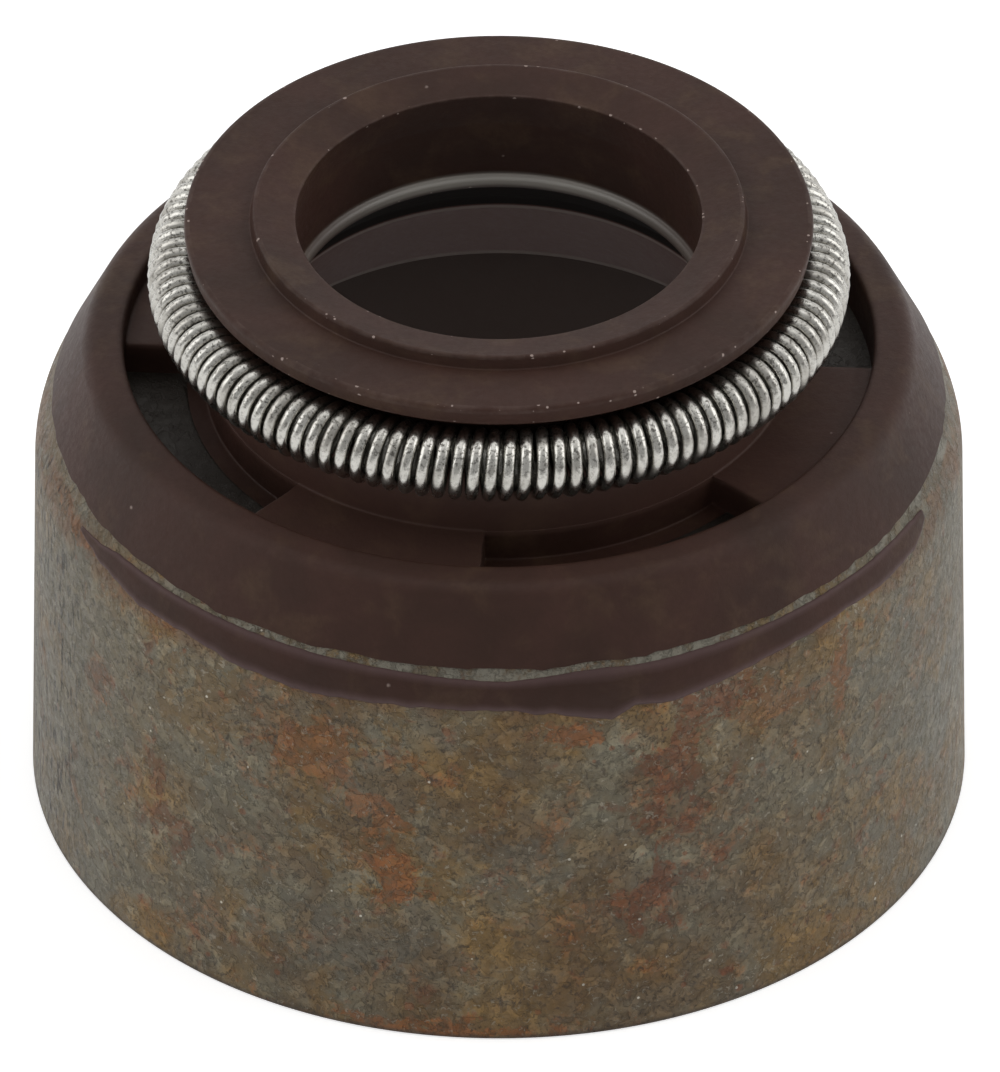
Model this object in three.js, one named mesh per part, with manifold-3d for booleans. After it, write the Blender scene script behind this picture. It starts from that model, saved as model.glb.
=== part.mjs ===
// Valve stem seal: a deep-drawn steel cup with a bonded rubber body and a garter spring round its neck.
// Millimetres, +Z up. The origin is on the axis, in the plane of the cup's bottom edge.
import * as THREE from "three";
import { mergeVertices } from "three/addons/utils/BufferGeometryUtils.js";
import Module from "manifold-3d";

// Steel cup
const caseRadius = 7.5; // outside, at the bottom edge
const caseTaper = 0.08; // how much narrower the wall is where its corner starts
const caseHeight = 7.47; // to the top of the flange
const sheet = 0.6; // thickness of the drawn steel
const shoulderRadius = 1.75; // large radius that leads from the wall into the sloping shoulder
const flangeRadius = 0.6; // small radius from the shoulder into the flange
const shoulderSlope = 25.3; // degrees between the shoulder and the axis
const shoulderLength = 0.3; // bare steel slope between the two radii
const flangeGap = 0.3; // from the neck's surface out to the edge of the hole in the flange

// Stem bore, with a sealing lip at each end
const boreRadius = 3.235; // at both lips
const boreRelief = 0.065; // how much wider the bore is between its lips
const reliefDrop = 0.59; // from the bore's upper edge down to the widest place
const lipRise = 1.56; // lower lip, above the flange
const lipRound = 0.05;
const undercut = 0.5; // how far the throat under the lower lip stands back from the bore
const undercutDrop = 0.62; // from the lower lip down to the throat's upper end
const throatHeight = 0.17; // straight part of the throat, above the cone
const coneRadius = 4.495; // lower edge of the cone, where the valve guide's end stops
const stopSkin = 0.19; // rubber under the flange, which the valve guide's end meets

// Head and neck of the rubber body
const neckWall = 1.415; // from the bore out to the neck's surface
const headLip = 0.38; // how far the disc stands out over the neck
const headOver = 0.14; // from the top of the spring's groove up to the disc's lower edge
const headEdge = 0.32; // height of the disc's rim
const headEdgeTaper = 0.06; // how much narrower the rim is at its lower edge
const funnelWidth = 0.68; // from the bore out to the crest of the raised ring
const funnelDepth = 0.16; // from the crest down to the edge of the bore
const ringHeight = 0.23; // raised ring, above the disc
const ringFoot = 0.05; // how much wider the ring is at its foot

// Shoulder of the rubber body
const coneStep = 0.03; // how far the rubber stands proud of the steel at its lower edge
const creaseRise = 0.83; // from the flange up to where the slope turns into the land
const landWidth = 0.58; // from the crease in to the rim of the groove
const landRise = 0.07; // from the crease up to the rim of the groove
const grooveDepth = 0.36; // from the rim down to the webs between the pockets

// Pockets that the mould's support fingers leave in the groove, down to the flange
const pocketCount = 4;
const pocketAngle = 50; // degrees along the groove
const pocketStart = 43; // degrees clockwise from +X, seen from above, to the start of the first one
const pocketWall = 0.1; // rubber left over the neck's surface inside a pocket

// Lining that grips the valve guide
const liningThickness = 0.87; // at the top of the cup's wall
const liningEnd = 0.4; // height of the lining's lower face above the cup's bottom edge
const liningChamfer = 0.3;
const ribCount = 3;
const ribHeight = 0.12;
const ribPitch = 1;
const ribWidth = 0.5;
const firstRib = 0.9; // from the lining's lower face up to the lowest rib's crest

// Thin film of rubber that ran out over the cup's corner in the mould
const flashThickness = 0.06;
const flashDrop = 0.7; // from the rubber's edge down to the film's lower edge
const flashLap = 0.05; // how far the film runs up into the rubber's edge
const flashStart = 25; // degrees clockwise from +X
const flashAngle = 135;

// Garter spring
const springRise = 2.145; // from the flange up to the middle of the coil
const springOut = 0.366; // from the neck's surface out to the middle of the coil
const coilRadius = 0.593; // outside of the coil
const wireDiameter = 0.215;
const turnGap = 0.01; // between two turns, on the ring's inside
const springClearance = 0.03; // between the coil and its groove

// Fineness of the facets
const roundSteps = 64;
const stepsPerTurn = 7;
const wireSides = 4;

const radians = THREE.MathUtils.degToRad;
const wasm = await Module();
wasm.setup();

// Points of an arc in the half-plane of a lathe profile, from one angle to another, in degrees.
function arc(centre, radius, from, to, steps) {
  const points = [];
  for (let i = 0; i <= steps; i++) {
    const angle = radians(from + ((to - from) * i) / steps);
    points.push([centre[0] + radius * Math.cos(angle), centre[1] + radius * Math.sin(angle)]);
  }
  return points;
}

// Closed solid of revolution round Z, from a closed profile of [radius, height] points.
function turned(profile) {
  const points = [...profile, profile[0]].map(([r, z]) => new THREE.Vector2(r, z));
  return new THREE.LatheGeometry(points, roundSteps).rotateX(Math.PI / 2);
}

function toSolid(geometry) {
  const bare = new THREE.BufferGeometry();
  bare.setAttribute("position", geometry.getAttribute("position"));
  if (geometry.index) bare.setIndex(geometry.index);
  const merged = mergeVertices(bare, 1e-4);
  const made = new wasm.Manifold(
    new wasm.Mesh({
      numProp: 3,
      vertProperties: new Float32Array(merged.getAttribute("position").array),
      triVerts: new Uint32Array(merged.index.array),
    }),
  );
  return made;
}

function toGeometry(solid) {
  const mesh = solid.getMesh();
  const positions = new Float32Array(mesh.numVert * 3);
  for (let i = 0; i < mesh.numVert; i++) {
    positions.set(mesh.vertProperties.subarray(i * mesh.numProp, i * mesh.numProp + 3), i * 3);
  }
  const geometry = new THREE.BufferGeometry();
  geometry.setAttribute("position", new THREE.BufferAttribute(positions, 3));
  geometry.setIndex(new THREE.BufferAttribute(new Uint32Array(mesh.triVerts), 1));
  geometry.computeVertexNormals();
  return geometry;
}

// Part of a ring between two radii and two heights. Angles run clockwise from +X, seen from above.
function ringSector(inner, outer, low, high, start, width, steps) {
  const outline = [...arc([0, 0], outer, -start, -start - width, steps)];
  outline.push(...arc([0, 0], inner, -start - width, -start, steps));
  const shape = new THREE.Shape(outline.map(([x, y]) => new THREE.Vector2(x, y)));
  return new THREE.ExtrudeGeometry(shape, { depth: high - low, bevelEnabled: false }).translate(0, 0, low);
}

// The radius of a line of [radius, height] points at one height.
function radiusAt(line, height) {
  const i = line.findIndex(([, z]) => z > height);
  const [[r0, z0], [r1, z1]] = [line[i - 1], line[i]];
  return r0 + ((r1 - r0) * (height - z0)) / (z1 - z0);
}

// The cup's outside and inside, from the bottom edge round the corner to the hole in the flange.
const slope = radians(shoulderSlope);
const cornerRise =
  (shoulderRadius - flangeRadius) * Math.sin(slope) + shoulderLength * Math.cos(slope) + flangeRadius;
const wallTop = caseHeight - cornerRise;
const bigCentre = [caseRadius - caseTaper - shoulderRadius, wallTop];
const smallCentre = [
  bigCentre[0] + (shoulderRadius - flangeRadius) * Math.cos(slope) - shoulderLength * Math.sin(slope),
  caseHeight - flangeRadius,
];
const slopeInside = [
  smallCentre[0] + (flangeRadius - sheet) * Math.cos(slope),
  smallCentre[1] + (flangeRadius - sheet) * Math.sin(slope),
];
const flangeUnder = caseHeight - sheet;
const insideCorner = [slopeInside[0] - (flangeUnder - slopeInside[1]) * Math.tan(slope), flangeUnder];
const liningFoot = [caseRadius - sheet - (caseTaper * liningEnd) / wallTop, liningEnd];
const neckRadius = boreRadius + neckWall;
const flangeHole = neckRadius + flangeGap;

const wallOutside = [[caseRadius, 0], ...arc(bigCentre, shoulderRadius, 0, shoulderSlope, 3)];
const flangeOutside = [...arc(smallCentre, flangeRadius, shoulderSlope, 90, 4), [flangeHole, caseHeight]];
const cupInside = [
  [flangeHole, flangeUnder],
  insideCorner,
  ...arc(bigCentre, shoulderRadius - sheet, shoulderSlope, 0, 2),
  liningFoot,
];
const cupProfile = [...wallOutside, ...flangeOutside, ...cupInside, [caseRadius - sheet, 0]];

// The rubber body's outside, from its edge on the cup's corner up to the crest of the raised ring.
const edge = flangeOutside[1];
const edgeTop = [edge[0] + coneStep, edge[1]];
const creaseHeight = caseHeight + creaseRise;
const crease = [edgeTop[0] - (creaseHeight - edgeTop[1]) * Math.tan(slope), creaseHeight];
const rim = [crease[0] - landWidth, creaseHeight + landRise];
const webHeight = rim[1] - grooveDepth;
const grooveArc = coilRadius + springClearance;
const springCentre = [neckRadius + springOut, caseHeight + springRise];
const grooveEnd = THREE.MathUtils.radToDeg(Math.acos(springOut / grooveArc));
const headUnder = springCentre[1] + grooveArc + headOver;
const headHeight = headUnder + headEdge;
const headRadius = neckRadius + headLip;
const ringRadius = boreRadius + funnelWidth;
const crestHeight = headHeight + ringHeight;
const rubberOutside = [
  edgeTop,
  crease,
  rim,
  [rim[0], webHeight],
  [neckRadius, webHeight],
  ...arc(springCentre, grooveArc, 180 + grooveEnd, 180 - grooveEnd, 6),
  [headRadius - headEdgeTaper, headUnder],
  [headRadius, headHeight],
  [ringRadius + ringFoot, headHeight],
  [ringRadius, crestHeight],
];

// The stem bore and the cone under it, from the bore's upper edge down to the stop face.
const boreEdge = crestHeight - funnelDepth;
const lipHeight = caseHeight + lipRise;
const throatTop = lipHeight - undercutDrop;
const stopHeight = flangeUnder - stopSkin;
const rubberBore = [
  [boreRadius, boreEdge],
  [boreRadius + boreRelief, boreEdge - reliefDrop],
  [boreRadius, lipHeight + lipRound],
  [boreRadius, lipHeight - lipRound],
  [boreRadius + undercut, throatTop],
  [boreRadius + undercut, throatTop - throatHeight],
  [coneRadius, stopHeight],
];

// The lining, from the stop face down to its lower face inside the cup.
const guideRadius = caseRadius - caseTaper - sheet - liningThickness;
const rubberLining = [[guideRadius, stopHeight]];
for (let i = ribCount - 1; i >= 0; i--) {
  const crest = liningEnd + firstRib + i * ribPitch;
  rubberLining.push([guideRadius, crest + ribWidth / 2]);
  rubberLining.push([guideRadius - ribHeight, crest]);
  rubberLining.push([guideRadius, crest - ribWidth / 2]);
}
rubberLining.push([guideRadius + liningChamfer, liningEnd]);

// The faces that are bonded to the steel have the cup's own points, in the other order.
const bonded = [...flangeOutside.slice(1), ...cupInside].reverse();
const rubberProfile = [...rubberOutside, ...rubberBore, ...rubberLining, ...bonded];

// A pocket is cut from the groove down through the rubber that lies on the flange.
function pocketCutter(index) {
  const start = pocketStart + (index * 360) / pocketCount;
  const floor = caseHeight - sheet / 2;
  return toSolid(ringSector(neckRadius + pocketWall, rim[0], floor, rim[1], start, pocketAngle, 12));
}

// The film follows the cup's outside from its lower edge up to the rubber's edge on the corner.
function flashSolid() {
  const low = edge[1] - flashDrop;
  const outline = [...wallOutside, ...flangeOutside.slice(0, 2)];
  const inside = [[radiusAt(outline, low), low], ...outline.filter(([, z]) => z > low)];
  const outside = inside.map(([r, z]) => [r + flashThickness, z]);
  const lap = [edge[0] - flashLap / 2, edge[1] + flashLap];
  const film = toSolid(turned([...outside, lap, ...inside.reverse()]));
  const sector = ringSector(flangeHole, caseRadius * 2, low - 1, headHeight, flashStart, flashAngle, 24);
  return film.intersect(toSolid(sector));
}

function rubberBody() {
  let body = toSolid(turned(rubberProfile));
  for (let i = 0; i < pocketCount; i++) {
    body = body.subtract(pocketCutter(i));
  }
  return toGeometry(body.add(flashSolid()));
}

// As many turns as fit round the ring's inside, where they lie closest.
const windingRadius = coilRadius - wireDiameter / 2;
const insideLength = 2 * Math.PI * (springCentre[0] - windingRadius);
const turns = Math.floor(insideLength / (wireDiameter + turnGap));

// The wire's middle line: a coil whose own middle line is a circle round the seal's axis.
class GarterCoil extends THREE.Curve {
  getPoint(t, target = new THREE.Vector3()) {
    const around = 2 * Math.PI * t;
    const turn = around * turns;
    const radius = springCentre[0] + windingRadius * Math.cos(turn);
    const height = springCentre[1] + windingRadius * Math.sin(turn);
    return target.set(radius * Math.cos(around), radius * Math.sin(around), height);
  }
}

function garterSpring() {
  return new THREE.TubeGeometry(new GarterCoil(), turns * stepsPerTurn, wireDiameter / 2, wireSides, true);
}

function piece(name, geometry, colour, roughness, metalness) {
  const material = new THREE.MeshStandardMaterial({ color: colour, roughness, metalness });
  const mesh = new THREE.Mesh(geometry, material);
  mesh.name = name;
  return mesh;
}

const seal = new THREE.Group();
seal.add(piece("metal_case", turned(cupProfile), 0x6a5f4f, 0.6, 0.6));
seal.add(piece("rubber_body", rubberBody(), 0x40302c, 0.55, 0));
seal.add(piece("garter_spring", garterSpring(), 0xa8a49c, 0.3, 1));

export default seal;
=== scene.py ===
"""Valve stem seal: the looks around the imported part, laid out as a Blender add-on."""

import math

import bpy
import numpy as np
from bpy.props import FloatProperty, FloatVectorProperty, IntProperty, PointerProperty
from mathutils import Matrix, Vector, noise


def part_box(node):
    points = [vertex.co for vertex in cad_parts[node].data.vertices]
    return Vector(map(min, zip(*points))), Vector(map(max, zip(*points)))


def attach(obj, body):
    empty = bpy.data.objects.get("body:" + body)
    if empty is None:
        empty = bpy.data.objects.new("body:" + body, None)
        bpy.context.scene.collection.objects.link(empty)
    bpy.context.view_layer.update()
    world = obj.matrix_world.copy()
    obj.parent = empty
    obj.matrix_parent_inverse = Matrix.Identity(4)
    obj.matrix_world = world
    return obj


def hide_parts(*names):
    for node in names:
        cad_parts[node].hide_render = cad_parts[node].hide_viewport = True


bl_info = {
    "name": "Valve stem seal",
    "version": (1, 0, 0),
    "blender": (4, 5, 0),
    "location": "View3D > Sidebar > Stem seal",
    "description": "Case, rubber body, moulding flash and garter spring of a valve stem seal",
    "category": "Object",
}

MM = 0.001
BODY = "root"
ARC_STEPS = 6  # pieces of a rounded corner
BESIDE = 0.03 * MM  # from a rounded corner to the point that keeps its flat side flat

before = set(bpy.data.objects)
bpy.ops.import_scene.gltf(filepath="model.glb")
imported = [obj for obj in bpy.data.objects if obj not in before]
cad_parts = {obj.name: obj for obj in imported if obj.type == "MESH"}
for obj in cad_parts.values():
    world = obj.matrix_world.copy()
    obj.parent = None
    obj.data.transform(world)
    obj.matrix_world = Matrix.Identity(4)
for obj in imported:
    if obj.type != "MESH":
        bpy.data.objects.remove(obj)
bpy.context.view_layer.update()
CASE_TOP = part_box("metal_case")[1]
RUBBER_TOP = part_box("rubber_body")[1]


def srgb(red, green, blue):
    """A colour as it looks on screen, 0 to 255, turned into the linear one that shaders use."""
    shares = [value / 255 for value in (red, green, blue)]
    return tuple(s / 12.92 if s <= 0.04045 else ((s + 0.055) / 1.055) ** 2.4 for s in shares) + (1.0,)


def length(name, description, millimetres):
    size = millimetres * MM
    return FloatProperty(name=name, description=description, default=size, unit="LENGTH", precision=6)


def angle(name, description, degrees):
    return FloatProperty(name=name, description=description, default=math.radians(degrees), subtype="ANGLE")


def power(name, description, watts):
    return FloatProperty(name=name, description=description, default=watts, unit="POWER")


def colour(name, description, red, green, blue):
    linear = srgb(red, green, blue)
    return FloatVectorProperty(
        name=name, description=description, default=linear, size=4, subtype="COLOR", min=0, max=1
    )


class SEAL_PG_case(bpy.types.PropertyGroup):
    """Sizes of the drawn steel case"""

    radius: length("Radius", "Outside radius at the bottom edge", CASE_TOP.x / MM)
    height: length("Height", "From the bottom edge to the top of the flange", CASE_TOP.z / MM)
    taper: length("Taper", "How much narrower the wall is at its top", 0.08)
    sheet: length("Sheet", "Thickness of the steel", 0.6)
    shoulder_radius: length("Shoulder radius", "Outside radius of the lower corner", 1.75)
    flange_radius: length("Flange radius", "Outside radius of the upper corner", 0.6)
    slope: angle("Slope", "Lean of the short cone between the two corners", 25.3)
    slope_length: length("Slope length", "Length of that short cone", 0.3)
    flange_hole: length("Flange hole", "Radius of the hole in the flange", 4.95)
    edge_round: length("Edge round", "Rounding of the cut edges", 0.07)


class SEAL_PG_rubber(bpy.types.PropertyGroup):
    """Sizes of the rubber body"""

    bore: length("Bore", "Radius of the stem bore", 3.235)
    neck: length("Neck", "Radius of the neck under the head disc", 4.65)
    head: length("Head", "Radius of the head disc", 5.03)
    crest: length("Crest", "Height of the raised ring's crest", RUBBER_TOP.z / MM)
    disc_top: length("Disc top", "Height of the head disc's upper face", 10.698)
    disc_under: length("Disc underside", "Height of the head disc's underside", 10.378)
    ring_foot: length("Ring foot", "Radius of the raised ring at its foot", 3.965)
    ring_crest: length("Ring crest", "Radius of the raised ring at its crest", 3.915)
    bore_edge: length("Bore edge", "Height of the bore's upper edge", 10.768)
    relief: length("Relief", "Radius of the bore under its edge", 3.3)
    relief_height: length("Relief height", "Height where the bore is that wide", 10.178)
    lip: length("Lip", "Height of the lip that rubs the stem", 9.06)
    lip_round: length("Lip round", "Rounding of that lip", 0.09)
    throat: length("Throat", "Radius of the throat under the lip", 3.735)
    throat_top: length("Throat top", "Height of the throat's upper end", 8.41)
    throat_foot: length("Throat foot", "Height of the throat's lower end", 8.24)
    stop: length("Guide stop", "Radius of the cone's lower edge", 4.495)
    stop_height: length("Guide stop height", "Height of the face that the guide meets", 6.68)
    lining: length("Lining", "Inside radius of the lining", 5.95)
    rib: length("Rib", "Inside radius of the lining's ribs", 5.83)
    rib_foot: length("Rib foot", "Half the height of a rib", 0.25)
    lowest_rib: length("Lowest rib", "Height of the lowest rib", 1.3)
    rib_pitch: length("Rib pitch", "From one rib to the next", 1.0)
    ribs: IntProperty(name="Ribs", description="Ribs in the lining", default=3, min=1)
    lining_foot: length("Lining foot", "Height of the lining's lower end", 0.4)
    lead_in: length("Lead-in", "Chamfer at the lining's lower end", 0.3)
    sunk: length("Sunk", "How far the rubber's bonded faces lie in the steel", 0.05)
    crease: length("Crease", "Radius where the cone meets the land", 6.573)
    crease_height: length("Crease height", "Height where the cone meets the land", 8.3)
    rim: length("Rim", "Radius of the land's inner rim", 5.993)
    rim_height: length("Rim height", "Height of the land's inner rim", 8.37)
    web: length("Web", "Height of the groove's floor between the pockets", 8.01)
    pocket_inside: length("Pocket inside", "Radius of the pockets' inner wall", 4.67)
    lower_edge: length("Lower edge", "Height of the rubber's edge on the case", 7.14)
    edge_wave: length("Edge wave", "How far that edge wanders up and down", 0.06)
    pockets: IntProperty(name="Pockets", description="Pockets in the groove", default=4, min=1)
    pocket_start: angle("Pocket start", "Start of the first pocket, clockwise from +X", 43)
    pocket_angle: angle("Pocket angle", "Length of one pocket round the groove", 50)


class SEAL_PG_flash(bpy.types.PropertyGroup):
    """Sizes of the thin rubber film on the case's corner"""

    thickness: length("Thickness", "Thickness of the film", 0.035)
    start: angle("Start", "Right end of the film, clockwise from +X", 21.5)
    end: angle("End", "Left end of the film, clockwise from +X", 156)
    raggedness: length("Raggedness", "How far the film's edge wanders", 0.035)
    sunk: length("Sunk", "How far the film's inside lies in the steel", 0.03)


class SEAL_PG_spring(bpy.types.PropertyGroup):
    """Sizes of the garter spring"""

    ring_radius: length("Ring radius", "From the seal's axis to the middle of the coil", 5.016)
    height: length("Height", "Height of the middle of the coil", 9.615)
    coil_radius: length("Coil radius", "Outside radius of the coil", 0.593)
    wire: length("Wire", "Diameter of the wire", 0.215)
    turns: IntProperty(name="Turns", description="Turns of the coil round the ring", default=126, min=3)
    steps: IntProperty(name="Steps", description="Points along one turn", default=22, min=6)
    sides: IntProperty(name="Sides", description="Faces round the wire", default=10, min=4)
    wobble: length("Wobble", "How far single turns stand out of line", 0.012)
    seat_gap: length("Seat gap", "From the coil to the groove's wall", 0.03)


class SEAL_PG_finish(bpy.types.PropertyGroup):
    """Colours of the finishes"""

    rubber: colour("Rubber", "Moulded rubber", 68, 45, 38)
    rubber_dark: colour("Dark rubber", "Darker clouds in the rubber", 54, 36, 29)
    rubber_rim: colour("Film rim", "Paler rim of the rubber film", 96, 76, 76)
    rubber_stain: colour("Rubber stain", "Lighter brown stains in the rubber", 86, 66, 50)
    # Painted highlight: the stem lip's near-white colour stands in for the gloss on its bead.
    lip: colour("Lip", "Polished rubber of the stem lip", 174, 169, 160)
    # Painted shade: the dark, matt rubber in the hollow behind the lip.
    undercut_shade: colour("Undercut", "Rubber behind the lip", 30, 24, 21)
    # Painted fill light: a paler rubber colour for the cone under the lip.
    inner_cone_fill_light: colour("Inner cone", "Rubber of the cone under the lip", 116, 82, 74)
    # Painted highlights along the upper and lower edges of the cone under the lip.
    cone_edge_highlight: colour("Inner edge", "Rubbed edges of that cone", 186, 172, 160)
    # Painted fill light: a paler, greyer rubber colour inside the case.
    lining: colour("Lining", "Rubber inside the case", 104, 92, 84)
    # Painted fill light: a paler rubber colour for the neck and the groove.
    groove_fill_light: colour("Well", "Rubber of the neck and the groove", 106, 80, 72)
    dust: colour("Dust", "Dust and chalk on the rubber", 168, 150, 142)
    phosphate: colour("Phosphate", "Grey coat of the case", 115, 107, 87)
    pale_coat: colour("Pale coat", "Paler patches in the coat", 128, 124, 106)
    ochre: colour("Ochre", "Yellow-brown clouds in the coat", 126, 100, 58)
    blue_grey: colour("Blue grey", "Cool patches in the coat", 112, 110, 98)
    brown: colour("Brown", "Brown film on the coat", 98, 74, 46)
    rust: colour("Rust", "Fresh orange rust", 152, 92, 44)
    old_rust: colour("Old rust", "Dark red-brown rust", 120, 70, 40)
    # Painted sheen: the greyer coat colour laid on the case's left and right sides.
    flank_sheen: colour("Flank", "Coat at the left and right sides", 102, 99, 89)
    film_stain: colour("Film stain", "Brown stain under the rubber film", 104, 70, 44)
    pit: colour("Pit", "Small pits in the coat", 46, 36, 28)
    score: colour("Score", "Upright scores in the coat", 58, 46, 36)
    fleck: colour("Fleck", "Dark flecks at the left side", 40, 36, 32)
    crystal: colour("Crystal", "Light crystals in the coat", 172, 164, 146)
    # Painted glints: near-white points standing in for sparkle off the coat.
    glint: colour("Glint", "Bright points in the coat", 214, 208, 194)
    foot_line: colour("Foot line", "Dark line at the case's foot", 52, 36, 26)
    bare_steel: colour("Bare steel", "Steel beside the rubber", 126, 124, 112)
    dull_steel: colour("Dull steel", "Duller patches of that steel", 76, 68, 54)
    tan_steel: colour("Tan steel", "Steel beside the rubber at the left", 104, 90, 68)
    # Painted shade for the steel at the bottom of the pockets.
    pocket_floor_shade: colour("Pocket floor", "Steel at the bottom of the pockets", 50, 44, 38)
    wire: colour("Wire", "Bare spring wire", 188, 186, 180)
    wire_dull: colour("Dull wire", "Duller clouds on the wire", 118, 112, 102)
    wire_dirt: colour("Wire dirt", "Dirt on top of the turns", 44, 38, 32)


class SEAL_PG_stage(bpy.types.PropertyGroup):
    """Camera and lamps"""

    elevation: angle("Elevation", "Camera's height above the horizon", 37.1)
    distance: length("Distance", "Camera's distance", 609)
    side: length("Side", "How far the view's middle is to the right of the axis", 0.019)
    middle: length("Middle", "Height of the view's middle", 4.4)
    lens: FloatProperty(name="Lens", description="Focal length in mm", default=1276, min=1)
    left_power: power("Left lamp", "Power of the left soft box", 0.62)
    right_power: power("Right lamp", "Power of the right soft box", 0.7)
    top_power: power("Top lamp", "Power of the top soft box", 0.22)


# Meshes


def grid_mesh(name, points, edge=None, wrap=True):
    """A closed shell from columns of points. Each column is a closed loop. The columns close round the axis or,
    without wrap, end in flat caps. The faces are turned outwards by the shell's own volume."""
    columns, rows = points.shape[:2]
    index = np.arange(columns * rows).reshape(columns, rows)
    here = index if wrap else index[:-1]
    there = np.roll(index, -1, axis=0) if wrap else index[1:]
    quads = [here, there, np.roll(there, -1, axis=1), np.roll(here, -1, axis=1)]
    quads = np.stack(quads, axis=-1).reshape(-1, 4)
    flat = points.reshape(-1, 3)
    corner = flat[quads]
    volume = np.einsum("ij,ij->i", corner[:, 0], np.cross(corner[:, 1], corner[:, 2])).sum()
    volume += np.einsum("ij,ij->i", corner[:, 0], np.cross(corner[:, 2], corner[:, 3])).sum()
    faces = quads.tolist()
    if not wrap:
        faces += [index[0].tolist(), index[-1][::-1].tolist()]
    if volume < 0:
        faces = [face[::-1] for face in faces]
    mesh = bpy.data.meshes.new(name)
    mesh.from_pydata(flat.tolist(), [], faces)
    mesh.shade_smooth()
    if edge is not None:
        marks = mesh.attributes.new("edge", "FLOAT", "POINT")
        marks.data.foreach_set("value", edge.reshape(-1).astype(np.float32))
    piece = bpy.data.objects.new(name, mesh)
    bpy.context.scene.collection.objects.link(piece)
    return piece


def rounded(corners):
    """A closed profile from corners of (radius, height, rounding), listed with the solid on the left.
    Each corner gives the same number of points, with one more on each side that keeps the flat parts flat.
    Returns the points and, for each, how far it is on an outer edge."""
    points, edges = [], []
    count = len(corners)
    for i, (r, z, rounding) in enumerate(corners):
        here = np.array([r, z])
        before = np.array(corners[i - 1][:2]) - here
        after = np.array(corners[(i + 1) % count][:2]) - here
        room = 0.42 * min(np.linalg.norm(before), np.linalg.norm(after))
        before, after = before / np.linalg.norm(before), after / np.linalg.norm(after)
        turn = math.pi - math.acos(max(-1.0, min(1.0, float(before @ after))))
        reach = min(room, max(rounding * math.tan(turn / 2), 0.004 * MM))
        convex = before[0] * after[1] - before[1] * after[0] < 0
        outer = 1.0 if convex and turn > 0.3 and rounding < 0.1 * MM else 0.0
        support = reach + min(BESIDE, 0.1 * room)
        points.append(here + before * support)
        edges.append(0.0)
        for k in range(ARC_STEPS + 1):
            t = k / ARC_STEPS
            near = here + before * reach * (1 - t)
            far = here + after * reach * t
            points.append(near * (1 - t) + far * t)
            edges.append(outer)
        points.append(here + after * support)
        edges.append(0.0)
    return np.array(points), np.array(edges)


def arc(centre, radius, start, end, steps):
    """Points on an arc of a profile, each with no rounding of its own. Angles in degrees."""
    turns = np.radians(np.linspace(start, end, steps + 1))
    return [(centre[0] + radius * math.cos(t), centre[1] + radius * math.sin(t), 0.0) for t in turns]


def round_axis(profile, angles):
    """The profile's points carried round the axis, at angles that run clockwise seen from above."""
    r, z = profile[:, 0], profile[:, 1]
    columns = [np.stack([r * math.cos(a), -r * math.sin(a), z], axis=-1) for a in angles]
    return np.array(columns)


def fit(piece, cad_node, material):
    """Gives a piece its finish, puts it on the part's body and lets it stand for its CAD node."""
    piece.data.materials.clear()
    piece.data.materials.append(material)
    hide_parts(cad_node)
    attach(piece, BODY)
    return piece


# Shader nodes


def feed(tree, socket, value):
    if isinstance(value, bpy.types.NodeSocket):
        tree.links.new(value, socket)
    else:
        socket.default_value = value


def node(tree, kind, inputs=None, **settings):
    made = tree.nodes.new(kind)
    for key, value in settings.items():
        setattr(made, key, value)
    for key, value in (inputs or {}).items():
        feed(tree, made.inputs[key], value)
    return made


def calc(tree, operation, a, b=0.0, c=None):
    inputs = {0: a, 1: b}
    if c is not None:
        inputs[2] = c
    return node(tree, "ShaderNodeMath", inputs, operation=operation).outputs[0]


def times(tree, *values):
    product = values[0]
    for value in values[1:]:
        product = calc(tree, "MULTIPLY", product, value)
    return product


def plus(tree, *values):
    total = values[0]
    for value in values[1:]:
        total = calc(tree, "ADD", total, value)
    return total


def highest(tree, *values):
    top = values[0]
    for value in values[1:]:
        top = calc(tree, "MAXIMUM", top, value)
    return top


def mixed(tree, factor, a, b, mode="MIX"):
    made = node(tree, "ShaderNodeMix", {0: factor, 6: a, 7: b}, data_type="RGBA", blend_type=mode)
    return made.outputs[2]


def remap(tree, value, low, high, to_low=0.0, to_high=1.0, kind="SMOOTHSTEP"):
    inputs = {"Value": value, "From Min": low, "From Max": high, "To Min": to_low, "To Max": to_high}
    return node(tree, "ShaderNodeMapRange", inputs, interpolation_type=kind).outputs["Result"]


def span(tree, value, start, full, fading, end):
    """1 from full to fading, and down to 0 at start and at end."""
    return times(tree, remap(tree, value, start, full), remap(tree, value, end, fading))


def cover(tree, base, mask, strength, over):
    """Lays one colour over another where the mask says."""
    return mixed(tree, times(tree, mask, strength), base, over)


def cloud(tree, vector, scale, detail=3.0, roughness=0.5, distortion=0.0):
    inputs = {"Vector": vector, "Scale": scale, "Detail": detail, "Roughness": roughness}
    return node(tree, "ShaderNodeTexNoise", {**inputs, "Distortion": distortion}).outputs["Fac"]


def shader_group(name, inputs, outputs):
    tree = bpy.data.node_groups.new(name, "ShaderNodeTree")
    for label, kind, default in inputs:
        socket = tree.interface.new_socket(label, in_out="INPUT", socket_type=kind)
        if default is not None:
            socket.default_value = default
    for label, kind in outputs:
        tree.interface.new_socket(label, in_out="OUTPUT", socket_type=kind)
    return tree, node(tree, "NodeGroupInput").outputs, node(tree, "NodeGroupOutput")


def placed(tree, group, inputs):
    made = tree.nodes.new("ShaderNodeGroup")
    made.node_tree = group
    for key, value in inputs.items():
        feed(tree, made.inputs[key], value)
    return made.outputs


FLOAT, VECTOR = "NodeSocketFloat", "NodeSocketVector"


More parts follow.
